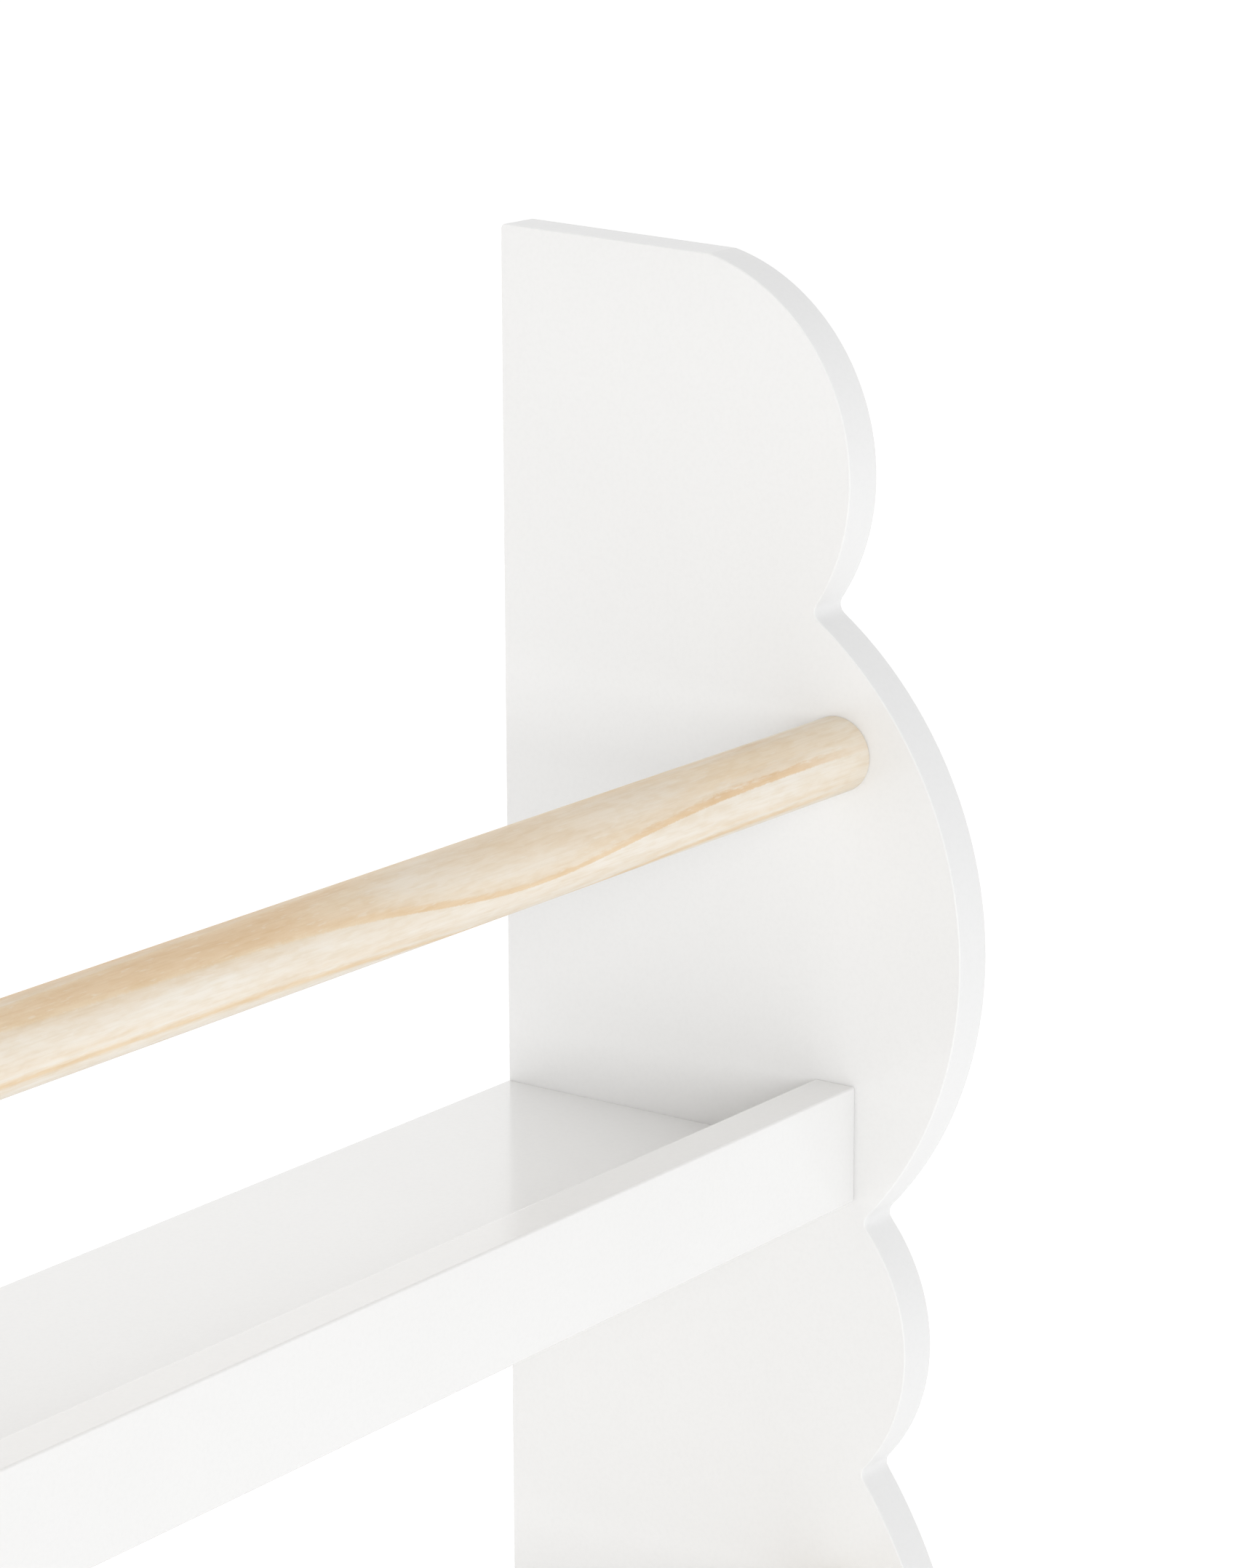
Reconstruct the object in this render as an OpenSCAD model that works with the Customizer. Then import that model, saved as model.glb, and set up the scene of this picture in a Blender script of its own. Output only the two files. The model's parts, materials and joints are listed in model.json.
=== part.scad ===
// Two-tier wall shelf for picture books: two wavy side panels carry two shelf boards.
// Each shelf has an upright lip along its front and a round bar above the lip.
// X runs along the shelves, +Y points at the wall, +Z is up.
// The wall plane is y = 0, and the origin is the centre of the four wall screw holes.

/* [Overall] */
// Width across the outer faces of the two side panels
unit_w = 595; // [450:1:900]
// Thickness of every painted board
board_t = 15; // [14:0.5:18]
// Depth of a shelf board, from the wall to the back of its lip
shelf_d = 122; // [118:0.5:130]
// Distance between the top faces of the two shelves
shelf_pitch = 285; // [275:1:300]
// Height of the side panels above the top face of the upper shelf, at the wall
panel_above = 284; // [274:0.5:292]
// Depth of the side panels below the top face of the lower shelf
panel_below = 131; // [125:0.5:142]

/* [Lip and bar] */
// Height of the lip above the top face of its shelf
lip_up = 23; // [15:0.5:40]
// Diameter of the round bar
bar_d = 24; // [18:0.5:30]
// Height of the bar's centre line above the top face of its shelf
bar_up = 129.5; // [90:0.5:140]

/* [Side panel outline] */
// Length of the straight top edge, from the wall
top_edge = 80.5; // [75:0.5:95]
// How much lower that edge ends in front than at the wall
top_fall = 3; // [0:0.5:6]
// Length of the straight bottom edge, from the wall
bottom_edge = 93.5; // [85:0.5:100]
// How far the highest and lowest notches lie behind the front face of the lip
end_notch_back = 18; // [13:0.5:22]
// How far the two middle notches stand ahead of the front face of the lip
mid_notch_ahead = 2.5; // [1:0.5:6]
// Height of the highest notch above the top face of the upper shelf
notch_1_up = 172.5; // [165:0.5:180]
// Drop of the second notch below the top face of the upper shelf
notch_2_down = 21.5; // [20:0.5:26]
// Drop of the third notch below the top face of the upper shelf
notch_3_down = 106; // [100:0.5:112]
// Drop of the lowest notch below the top face of the lower shelf
notch_4_down = 36.5; // [33:0.5:42]
// Radius of the highest and the lowest lobe
end_lobe_r = 68.5; // [65:0.5:76]
// Radius of the lobe around the upper shelf
upper_lobe_r = 127.5; // [115:0.5:140]
// Radius of the lobe between the shelves
middle_lobe_r = 61; // [54:0.5:66]
// Radius of the lobe around the lower shelf
lower_lobe_r = 160; // [145:0.5:175]
// Radius at the bottom of each notch
notch_fillet_r = 3.5; // [1:0.5:5]

/* [Screws through the side panels] */
// Shank diameter of the screws that hold a shelf
shelf_screw_d = 7; // [5:0.5:8]
// Length of the screws that hold a shelf
shelf_screw_l = 50; // [40:1:60]
// Shank diameter of the screw that holds a bar's end
bar_screw_d = 5; // [4:0.5:6]
// Length of the screw that holds a bar's end
bar_screw_l = 50; // [35:1:60]
// Diameter of the flat screw heads
head_d = 10; // [9:0.5:11]
// Height of the flat screw heads
head_h = 3; // [2.5:0.5:4]
// Width across the flats of the screw heads' hexagon socket
socket_af = 4; // [3:0.5:4]
// Depth of the hexagon socket
socket_deep = 2.5; // [2:0.5:3.5]
// Distance from the wall to the rear screw of each pair
rear_screw_y = 28; // [20:1:35]
// Distance from the wall to the front screw of each pair
front_screw_y = 96; // [85:1:105]
// Diameter of a screw's cover cap
cap_d = 13; // [12:0.5:15]
// Height of a cover cap above the panel
cap_h = 1.4; // [1:0.1:2]
// Diameter of the peg that holds a cap in the socket
cap_peg_d = 3; // [2:0.1:3]
// Length of that peg
cap_peg_l = 2; // [1:0.1:2]

/* [Wood dowels] */
// Diameter of the dowels between shelf and side panel
shelf_dowel_d = 8; // [6:1:10]
// Length of a shelf dowel inside the panel
shelf_dowel_in_panel = 10; // [7:0.5:11]
// Length of a shelf dowel inside the shelf's end
shelf_dowel_in_shelf = 20; // [15:1:30]
// Distance from the wall to a shelf dowel
shelf_dowel_y = 62; // [50:1:72]
// Diameter of the dowels in the lip
lip_dowel_d = 6; // [4:0.5:8]
// Length of a lip dowel inside the lip, or inside the panel
lip_dowel_short = 9; // [6:0.5:10]
// Length of a lip dowel inside the shelf, or inside the lip's end
lip_dowel_long = 18; // [12:1:24]
// Number of dowels between a shelf and its lip
lip_dowel_count = 4; // [2:1:6]
// Distance from the side panel to the first of them
lip_dowel_inset = 60; // [50:1:90]
// Height of the dowel in a lip's end above the top face of the shelf
lip_end_dowel_up = 8; // [4:0.5:10]
// Chamfer at each end of a dowel
dowel_chamfer = 0.8; // [0.4:0.1:1]

/* [Wall brackets] */
// Distance from a side panel to the middle of the nearest brackets
bracket_inset = 57.5; // [50:0.5:90]
// Drop of a wall screw hole below the underside of its shelf
wall_hole_drop = 20; // [16:0.5:26]
// Diameter of a wall screw hole
wall_hole_d = 5; // [4:0.5:6]
// Width of a bracket
bracket_w = 18; // [14:0.5:24]
// Thickness of a bracket's steel
bracket_t = 2; // [1.5:0.5:3]
// Length of the leg under the shelf
bracket_shelf_leg = 42; // [38:1:60]
// Length of the leg on the wall
bracket_wall_leg = 32; // [30:1:50]
// Outer radius of a bracket's bend
bracket_bend_r = 3.5; // [3.5:0.5:5]
// Radius of a bracket's free corners
bracket_corner_r = 4; // [2:0.5:6]
// Diameter of the screws between bracket and shelf
bracket_screw_d = 3.5; // [3:0.5:4.5]
// Length of those screws inside the board
bracket_screw_grip = 10; // [8:0.5:12]
// Head diameter of those screws
bracket_head_d = 7; // [6:0.5:8]
// Head height of those screws
bracket_head_h = 2.2; // [1.5:0.1:3]
// Distance from the wall to the first of them
bracket_screw_y = 15; // [12:0.5:18]
// Distance between the two of them
bracket_screw_step = 17; // [12:0.5:18]

/* [Fits] */
// Gap all round a screw or a dowel in its hole
fit_gap = 0.1; // [0.05:0.05:0.3]
// Gap past the end of a screw or a dowel in a blind hole
end_gap = 0.3; // [0.2:0.1:1]

/* [Hidden] */

LEFT = -1;
RIGHT = 1;
$fn = 48;
outline_fn = 240;
cut = 1;

inner_w = unit_w - 2 * board_t;
upper_top = shelf_pitch / 2 + wall_hole_drop + board_t;
lower_top = upper_top - shelf_pitch;
panel_top = upper_top + panel_above;
panel_bottom = lower_top - panel_below;
lip_front = shelf_d + board_t;
bar_y = shelf_d + board_t / 2;
shelf_tops = [upper_top, lower_top];
shelf_screw_ys = [rear_screw_y, front_screw_y];
bracket_screw_ys = [bracket_screw_y, bracket_screw_y + bracket_screw_step];
shelf_screw_into = shelf_screw_l - board_t;

// Corners and notches of the side panel, from the top down, as [y, z]
top_corner = [-top_edge, panel_top - top_fall];
notch_1 = [-(lip_front - end_notch_back), upper_top + notch_1_up];
notch_2 = [-(lip_front + mid_notch_ahead), upper_top - notch_2_down];
notch_3 = [-(lip_front + mid_notch_ahead), upper_top - notch_3_down];
notch_4 = [-(lip_front - end_notch_back), lower_top - notch_4_down];
bottom_corner = [-bottom_edge, panel_bottom];
outline_points = [top_corner, notch_1, notch_2, notch_3, notch_4, bottom_corner];
lobe_radii = [end_lobe_r, upper_lobe_r, middle_lobe_r, lower_lobe_r, end_lobe_r];
lobe_centres = [
    for (i = [0 : len(lobe_radii) - 1])
        arc_centre(outline_points[i], outline_points[i + 1], lobe_radii[i])
];
outline_reach = 2 * lip_front;

// Centre of the arc of radius r that bulges to -y and joins p to the lower point q
function arc_centre(p, q, r) =
    let (along = (q - p) / norm(q - p), rise = sqrt(r * r - pow(norm(q - p) / 2, 2)))
    (p + q) / 2 + rise * [-along[1], along[0]];

// The point on the -y side that lies ra from a and rb from the lower point b
function front_meeting(a, ra, b, rb) =
    let (
        d = norm(b - a),
        along = (b - a) / d,
        foot = (ra * ra - rb * rb + d * d) / (2 * d),
        out = sqrt(ra * ra - foot * foot)
    )
    a + foot * along + out * [along[1], -along[0]];

// Puts a 2D outline drawn as [y, z] upright, with its thickness along +x
module upright(thickness) {
    rotate([90, 0, 90]) linear_extrude(thickness) children();
}

// Local frame of one side panel: x = 0 is its inner face and +x points outward
module at_side(side) {
    if (side == LEFT) mirror([1, 0, 0]) translate([inner_w / 2, 0, 0]) children();
    else translate([inner_w / 2, 0, 0]) children();
}

// The small web that rounds the notch between lobe i and the next one
module notch_fillet(i) {
    upper = lobe_centres[i];
    lower = lobe_centres[i + 1];
    eye = front_meeting(upper, lobe_radii[i] + notch_fillet_r, lower, lobe_radii[i + 1] + notch_fillet_r);
    difference() {
        polygon([upper, eye, lower]);
        translate(eye) circle(r = notch_fillet_r, $fn = outline_fn);
    }
}

module side_outline() {
    intersection() {
        polygon([
            [0, panel_bottom], [0, panel_top],
            [-outline_reach, panel_top - top_fall * outline_reach / top_edge],
            [-outline_reach, panel_bottom]
        ]);
        union() {
            polygon(concat([[0, panel_bottom], [0, panel_top]], outline_points));
            for (i = [0 : len(lobe_radii) - 1])
                translate(lobe_centres[i]) circle(r = lobe_radii[i], $fn = outline_fn);
            for (i = [0 : len(lobe_radii) - 2]) notch_fillet(i);
        }
    }
}

// A flat-headed screw along z with the top of its head at z = 0
module panel_screw(d, length) {
    tip = d / 2;
    difference() {
        union() {
            translate([0, 0, -head_h]) cylinder(d = head_d, h = head_h);
            translate([0, 0, -length + tip]) cylinder(d = d, h = length - tip - head_h / 2);
            translate([0, 0, -length]) cylinder(d1 = d / 3, d2 = d, h = tip);
        }
        translate([0, 0, -socket_deep])
            cylinder(d = socket_af / cos(30), h = socket_deep + cut, $fn = 6);
    }
}

// The hole for that screw, through the panel and into what it holds
module panel_screw_hole(d, length) {
    translate([0, 0, -head_h]) cylinder(d = head_d + 2 * fit_gap, h = head_h + cut);
    translate([0, 0, -length - end_gap]) cylinder(d = d + 2 * fit_gap, h = length + end_gap);
}

// Places its children on the outer face at each shelf screw of one shelf
module at_shelf_screws(shelf_top) {
    for (y = shelf_screw_ys)
        translate([board_t, -y, shelf_top - board_t / 2]) rotate([0, 90, 0]) children();
}

// Places its children on the outer face at the bar's screw of one shelf
module at_bar_screw(shelf_top) {
    translate([board_t, -bar_y, shelf_top + bar_up]) rotate([0, 90, 0]) children();
}

module side_screw_holes() {
    for (shelf_top = shelf_tops) {
        at_shelf_screws(shelf_top) panel_screw_hole(shelf_screw_d, shelf_screw_l);
        at_bar_screw(shelf_top) panel_screw_hole(bar_screw_d, bar_screw_l);
    }
}

// A chamfered dowel along z, from -below to above
module dowel(d, below, above) {
    r = d / 2;
    c = dowel_chamfer;
    rotate_extrude()
        polygon([
            [0, -below], [r - c, -below], [r, -below + c],
            [r, above - c], [r - c, above], [0, above]
        ]);
}

module dowel_hole(d, below, above) {
    translate([0, 0, -below - end_gap])
        cylinder(d = d + 2 * fit_gap, h = below + above + 2 * end_gap);
}

// Places its children where a shelf's end dowel crosses the panel's inner face
module at_shelf_dowel(shelf_top) {
    translate([0, -shelf_dowel_y, shelf_top - board_t / 2]) rotate([0, 90, 0]) children();
}

// Places its children where a lip's end dowel crosses the panel's inner face
module at_lip_end_dowel(shelf_top) {
    translate([0, -bar_y, shelf_top + lip_end_dowel_up]) rotate([0, 90, 0]) children();
}

// Places its children where each lip dowel crosses the shelf's front edge, z pointing forward
module at_lip_dowels(shelf_top) {
    span = inner_w - 2 * lip_dowel_inset;
    for (i = [0 : lip_dowel_count - 1])
        translate([span * (i / (lip_dowel_count - 1) - 0.5), -shelf_d, shelf_top - board_t / 2])
            rotate([90, 0, 0]) children();
}

module side_dowel_holes() {
    for (shelf_top = shelf_tops) {
        at_shelf_dowel(shelf_top)
            dowel_hole(shelf_dowel_d, shelf_dowel_in_shelf, shelf_dowel_in_panel);
        at_lip_end_dowel(shelf_top) dowel_hole(lip_dowel_d, lip_dowel_long, lip_dowel_short);
    }
}

module side_panel(side) {
    color("whitesmoke") at_side(side) difference() {
        upright(board_t) side_outline();
        side_screw_holes();
        side_dowel_holes();
    }
}

// Local frame of one wall bracket: the corner where the shelf's underside meets the wall
module at_bracket(side, shelf_top) {
    translate([side * (inner_w / 2 - bracket_inset), 0, shelf_top - board_t]) children();
}

// Places its children at each bracket screw, on the shelf's underside
module at_bracket_screws() {
    for (y = bracket_screw_ys) translate([0, -y, 0]) children();
}

module shelf_board(shelf_top) {
    color("white") difference() {
        translate([-inner_w / 2, -shelf_d, shelf_top - board_t]) cube([inner_w, shelf_d, board_t]);
        for (side = [LEFT, RIGHT]) {
            at_side(side) {
                at_shelf_screws(shelf_top) panel_screw_hole(shelf_screw_d, shelf_screw_l);
                at_shelf_dowel(shelf_top)
                    dowel_hole(shelf_dowel_d, shelf_dowel_in_shelf, shelf_dowel_in_panel);
            }
            at_bracket(side, shelf_top) at_bracket_screws() translate([0, 0, -cut])
                cylinder(d = bracket_screw_d + 2 * fit_gap, h = bracket_screw_grip + end_gap + cut);
        }
        at_lip_dowels(shelf_top) dowel_hole(lip_dowel_d, lip_dowel_long, lip_dowel_short);
    }
}

module front_lip(shelf_top) {
    color("snow") difference() {
        translate([-inner_w / 2, -lip_front, shelf_top - board_t])
            cube([inner_w, board_t, board_t + lip_up]);
        for (side = [LEFT, RIGHT])
            at_side(side) at_lip_end_dowel(shelf_top)
                dowel_hole(lip_dowel_d, lip_dowel_long, lip_dowel_short);
        at_lip_dowels(shelf_top) dowel_hole(lip_dowel_d, lip_dowel_long, lip_dowel_short);
    }
}

module pine_bar(shelf_top) {
    color("burlywood") difference() {
        translate([-inner_w / 2, -bar_y, shelf_top + bar_up])
            rotate([0, 90, 0]) cylinder(d = bar_d, h = inner_w);
        for (side = [LEFT, RIGHT])
            at_side(side) at_bar_screw(shelf_top) panel_screw_hole(bar_screw_d, bar_screw_l);
    }
}

module shelf_screws(side, shelf_top) {
    color("silver") at_side(side) at_shelf_screws(shelf_top)
        panel_screw(shelf_screw_d, shelf_screw_l);
}

module bar_screw(side, shelf_top) {
    color("silver") at_side(side) at_bar_screw(shelf_top) panel_screw(bar_screw_d, bar_screw_l);
}

// A low cap on the panel's outer face, with its peg in the screw's socket
module screw_cap() {
    rim = cap_h / 2;
    rotate_extrude()
        polygon([
            [0, -cap_peg_l], [cap_peg_d / 2, -cap_peg_l], [cap_peg_d / 2, 0],
            [cap_d / 2, 0], [cap_d / 2, rim], [cap_d / 2 - rim, cap_h], [0, cap_h]
        ]);
}

module screw_caps(side) {
    color("white") at_side(side) for (shelf_top = shelf_tops) {
        at_shelf_screws(shelf_top) screw_cap();
        at_bar_screw(shelf_top) screw_cap();
    }
}

module shelf_dowels(shelf_top) {
    color("tan") for (side = [LEFT, RIGHT])
        at_side(side) at_shelf_dowel(shelf_top)
            dowel(shelf_dowel_d, shelf_dowel_in_shelf, shelf_dowel_in_panel);
}

module lip_dowels(shelf_top) {
    color("tan") at_lip_dowels(shelf_top) dowel(lip_dowel_d, lip_dowel_long, lip_dowel_short);
}

module lip_end_dowels(shelf_top) {
    color("tan") for (side = [LEFT, RIGHT])
        at_side(side) at_lip_end_dowel(shelf_top)
            dowel(lip_dowel_d, lip_dowel_long, lip_dowel_short);
}

// The bracket's side view as [y, z]: a leg under the shelf, a bend, a leg on the wall
module bracket_profile() {
    r = bracket_bend_r;
    translate([-bracket_shelf_leg, -bracket_t]) square([bracket_shelf_leg - r, bracket_t]);
    translate([-bracket_t, -bracket_wall_leg]) square([bracket_t, bracket_wall_leg - r]);
    translate([-r, -r]) intersection() {
        square([r, r]);
        difference() {
            circle(r = r);
            circle(r = r - bracket_t);
        }
    }
}

// What rounding takes off the two free corners of a leg that ends at y = 0, cut along z
module corner_cuts(depth) {
    r = bracket_corner_r;
    for (m = [0, 1]) mirror([m, 0, 0]) translate([bracket_w / 2 - r, r, -cut])
        linear_extrude(depth + 2 * cut) difference() {
            translate([0, -r - cut]) square([r + cut, r + cut]);
            circle(r = r);
        }
}

module wall_bracket(side, shelf_top) {
    color("lightsteelblue") at_bracket(side, shelf_top) difference() {
        translate([-bracket_w / 2, 0, 0]) upright(bracket_w) bracket_profile();
        at_bracket_screws() translate([0, 0, -bracket_t - cut])
            cylinder(d = bracket_screw_d + 6 * fit_gap, h = bracket_t + 2 * cut);
        translate([0, cut, -wall_hole_drop]) rotate([90, 0, 0])
            cylinder(d = wall_hole_d, h = bracket_t + 2 * cut);
        translate([0, -bracket_shelf_leg, -bracket_t]) corner_cuts(bracket_t);
        translate([0, 0, -bracket_wall_leg]) rotate([90, 0, 0]) corner_cuts(bracket_t);
    }
}

// A round-headed screw that points up, with its head's seat at z = 0
module bracket_screw() {
    shank = bracket_t + bracket_screw_grip;
    slot_w = bracket_head_d / 8;
    difference() {
        union() {
            translate([0, 0, -bracket_head_h])
                cylinder(d1 = bracket_head_d * 0.7, d2 = bracket_head_d, h = bracket_head_h);
            cylinder(d = bracket_screw_d, h = shank - bracket_screw_d / 2);
            translate([0, 0, shank - bracket_screw_d / 2])
                cylinder(d1 = bracket_screw_d, d2 = bracket_screw_d / 3, h = bracket_screw_d / 2);
        }
        for (turn = [0, 90]) rotate([0, 0, turn]) translate([-bracket_head_d / 4, -slot_w / 2, -bracket_head_h - cut])
            cube([bracket_head_d / 2, slot_w, bracket_head_h / 2 + cut]);
    }
}

module bracket_screws(side, shelf_top) {
    color("silver") at_bracket(side, shelf_top) at_bracket_screws()
        translate([0, 0, -bracket_t]) bracket_screw();
}

side_panel(LEFT);  // side_panel_left
side_panel(RIGHT);  // side_panel_right
shelf_board(upper_top);  // shelf_board_upper
shelf_board(lower_top);  // shelf_board_lower
front_lip(upper_top);  // front_lip_upper
front_lip(lower_top);  // front_lip_lower
pine_bar(upper_top);  // pine_bar_upper
pine_bar(lower_top);  // pine_bar_lower
shelf_screws(LEFT, upper_top);  // shelf_screws_upper_left
shelf_screws(RIGHT, upper_top);  // shelf_screws_upper_right
shelf_screws(LEFT, lower_top);  // shelf_screws_lower_left
shelf_screws(RIGHT, lower_top);  // shelf_screws_lower_right
bar_screw(LEFT, upper_top);  // bar_screw_upper_left
bar_screw(RIGHT, upper_top);  // bar_screw_upper_right
bar_screw(LEFT, lower_top);  // bar_screw_lower_left
bar_screw(RIGHT, lower_top);  // bar_screw_lower_right
screw_caps(LEFT);  // screw_caps_left
screw_caps(RIGHT);  // screw_caps_right
shelf_dowels(upper_top);  // shelf_dowels_upper
shelf_dowels(lower_top);  // shelf_dowels_lower
lip_dowels(upper_top);  // lip_dowels_upper
lip_dowels(lower_top);  // lip_dowels_lower
lip_end_dowels(upper_top);  // lip_end_dowels_upper
lip_end_dowels(lower_top);  // lip_end_dowels_lower
wall_bracket(LEFT, upper_top);  // wall_bracket_upper_left
wall_bracket(RIGHT, upper_top);  // wall_bracket_upper_right
wall_bracket(LEFT, lower_top);  // wall_bracket_lower_left
wall_bracket(RIGHT, lower_top);  // wall_bracket_lower_right
bracket_screws(LEFT, upper_top);  // bracket_screws_upper_left
bracket_screws(RIGHT, upper_top);  // bracket_screws_upper_right
bracket_screws(LEFT, lower_top);  // bracket_screws_lower_left
bracket_screws(RIGHT, lower_top);  // bracket_screws_lower_right
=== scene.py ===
import json
import math

import bmesh
import bpy
from mathutils import Matrix, Vector


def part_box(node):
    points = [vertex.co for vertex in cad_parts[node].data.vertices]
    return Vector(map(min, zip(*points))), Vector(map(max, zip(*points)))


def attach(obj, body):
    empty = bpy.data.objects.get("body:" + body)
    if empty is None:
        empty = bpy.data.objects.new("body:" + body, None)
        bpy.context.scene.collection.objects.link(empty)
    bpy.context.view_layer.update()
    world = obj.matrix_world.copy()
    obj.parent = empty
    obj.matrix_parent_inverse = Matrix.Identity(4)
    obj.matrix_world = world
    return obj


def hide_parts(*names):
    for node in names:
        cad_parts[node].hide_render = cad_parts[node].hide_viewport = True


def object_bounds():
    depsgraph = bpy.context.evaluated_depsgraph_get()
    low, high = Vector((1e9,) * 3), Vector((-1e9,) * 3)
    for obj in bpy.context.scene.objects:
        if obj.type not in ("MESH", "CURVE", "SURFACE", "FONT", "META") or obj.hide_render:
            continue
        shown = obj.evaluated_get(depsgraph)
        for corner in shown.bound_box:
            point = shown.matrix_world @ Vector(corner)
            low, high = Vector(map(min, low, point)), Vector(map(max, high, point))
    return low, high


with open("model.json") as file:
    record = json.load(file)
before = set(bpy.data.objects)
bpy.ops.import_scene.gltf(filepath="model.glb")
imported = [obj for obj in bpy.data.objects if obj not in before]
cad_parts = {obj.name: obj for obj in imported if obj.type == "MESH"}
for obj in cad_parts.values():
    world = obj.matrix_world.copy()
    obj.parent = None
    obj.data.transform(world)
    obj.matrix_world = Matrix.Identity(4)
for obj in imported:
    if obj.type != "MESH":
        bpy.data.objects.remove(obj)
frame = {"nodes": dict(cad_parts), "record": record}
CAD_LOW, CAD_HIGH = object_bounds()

MM = 0.001
TIERS = ("upper", "lower")
SIDES = ("left", "right")

# Places and sizes read from the frame, in metres
SHELF_LOW = {t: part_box("shelf_board_" + t)[0] for t in TIERS}
SHELF_HIGH = {t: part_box("shelf_board_" + t)[1] for t in TIERS}
LIP_LOW = {t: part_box("front_lip_" + t)[0] for t in TIERS}
LIP_HIGH = {t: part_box("front_lip_" + t)[1] for t in TIERS}
BAR_LOW = {t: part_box("pine_bar_" + t)[0] for t in TIERS}
BAR_HIGH = {t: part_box("pine_bar_" + t)[1] for t in TIERS}
PANEL_LOW, PANEL_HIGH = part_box("side_panel_right")
UPPER_TOP = SHELF_HIGH["upper"].z
LOWER_TOP = SHELF_HIGH["lower"].z
LIP_FRONT = -LIP_LOW["upper"].y
BOARD_T = PANEL_HIGH.x - PANEL_LOW.x

# The side panel's outline, the same sizes as in the part's source
TOP_EDGE = 80.5 * MM
TOP_FALL = 3 * MM
BOTTOM_EDGE = 93.5 * MM
END_NOTCH_BACK = 18 * MM
MID_NOTCH_AHEAD = 2.5 * MM
NOTCH_1_UP = 172.5 * MM
NOTCH_2_DOWN = 21.5 * MM
NOTCH_3_DOWN = 106 * MM
NOTCH_4_DOWN = 36.5 * MM
LOBE_RADII = [68.5 * MM, 127.5 * MM, 61 * MM, 160 * MM, 68.5 * MM]
NOTCH_FILLET = 3.5 * MM

# Eased edges and corners, which only the scene has
CORNER_R = 1.6 * MM
PANEL_EASED = 0.5 * MM
SHELF_EASED = 0.6 * MM
LIP_EASED = 0.8 * MM
BAR_EASED = 0.7 * MM

# How finely curves are cut
EASE_STEPS = 5
ROUND_PROFILE = 0.5
ARC_STEP = 1.5 * MM
FEWEST_ARC_STEPS = 3
SAME_POINT = 0.02 * MM
BAR_SIDES = 96
CUTTER_SIDES = 40
CAP_SIDES = 64
SHARP_ABOVE_DEGREES = 38
FLAT_FACE_WEIGHT = 100


def arc_centre(p, q, r):
    """Centre of the arc of radius r that bulges to -y and joins p to the lower point q."""
    chord = q - p
    rise = math.sqrt(r * r - (chord.length / 2) ** 2)
    along = chord.normalized()
    return (p + q) / 2 + rise * Vector((-along.y, along.x))


def front_meeting(a, ra, b, rb):
    """The point on the -y side that lies ra from a and rb from the lower point b."""
    chord = b - a
    foot = (ra * ra - rb * rb + chord.length_squared) / (2 * chord.length)
    out = math.sqrt(ra * ra - foot * foot)
    along = chord.normalized()
    return a + foot * along + out * Vector((along.y, -along.x))


def arc(centre, radius, start, end, convex=True):
    """Points and outward normals along an arc, from angle start to angle end."""
    count = max(FEWEST_ARC_STEPS, math.ceil(abs(end - start) * radius / ARC_STEP))
    out = []
    for i in range(count + 1):
        a = start + (end - start) * i / count
        ray = Vector((math.cos(a), math.sin(a)))
        out.append((centre + radius * ray, ray if convex else -ray))
    return out


def angle_of(v):
    """Direction of a 2D vector, from 0 to a full turn."""
    return math.atan2(v.y, v.x) % math.tau


def corner_at_wall(start, out):
    """Centre of the rounded corner between the wall side and an end line through start."""
    z = start.y - CORNER_R * (1 + abs(out.x)) / abs(out.y) * math.copysign(1, out.y)
    return Vector((-CORNER_R, z))


def corner_in_lobe(start, out, eye, radius):
    """Centre of the rounded corner between an end line through start and a lobe."""
    height = (eye - start).dot(out) + CORNER_R
    forward = Vector((-abs(out.y), out.x * math.copysign(1, out.y)))
    return eye - height * out + math.sqrt((radius - CORNER_R) ** 2 - height ** 2) * forward


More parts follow.
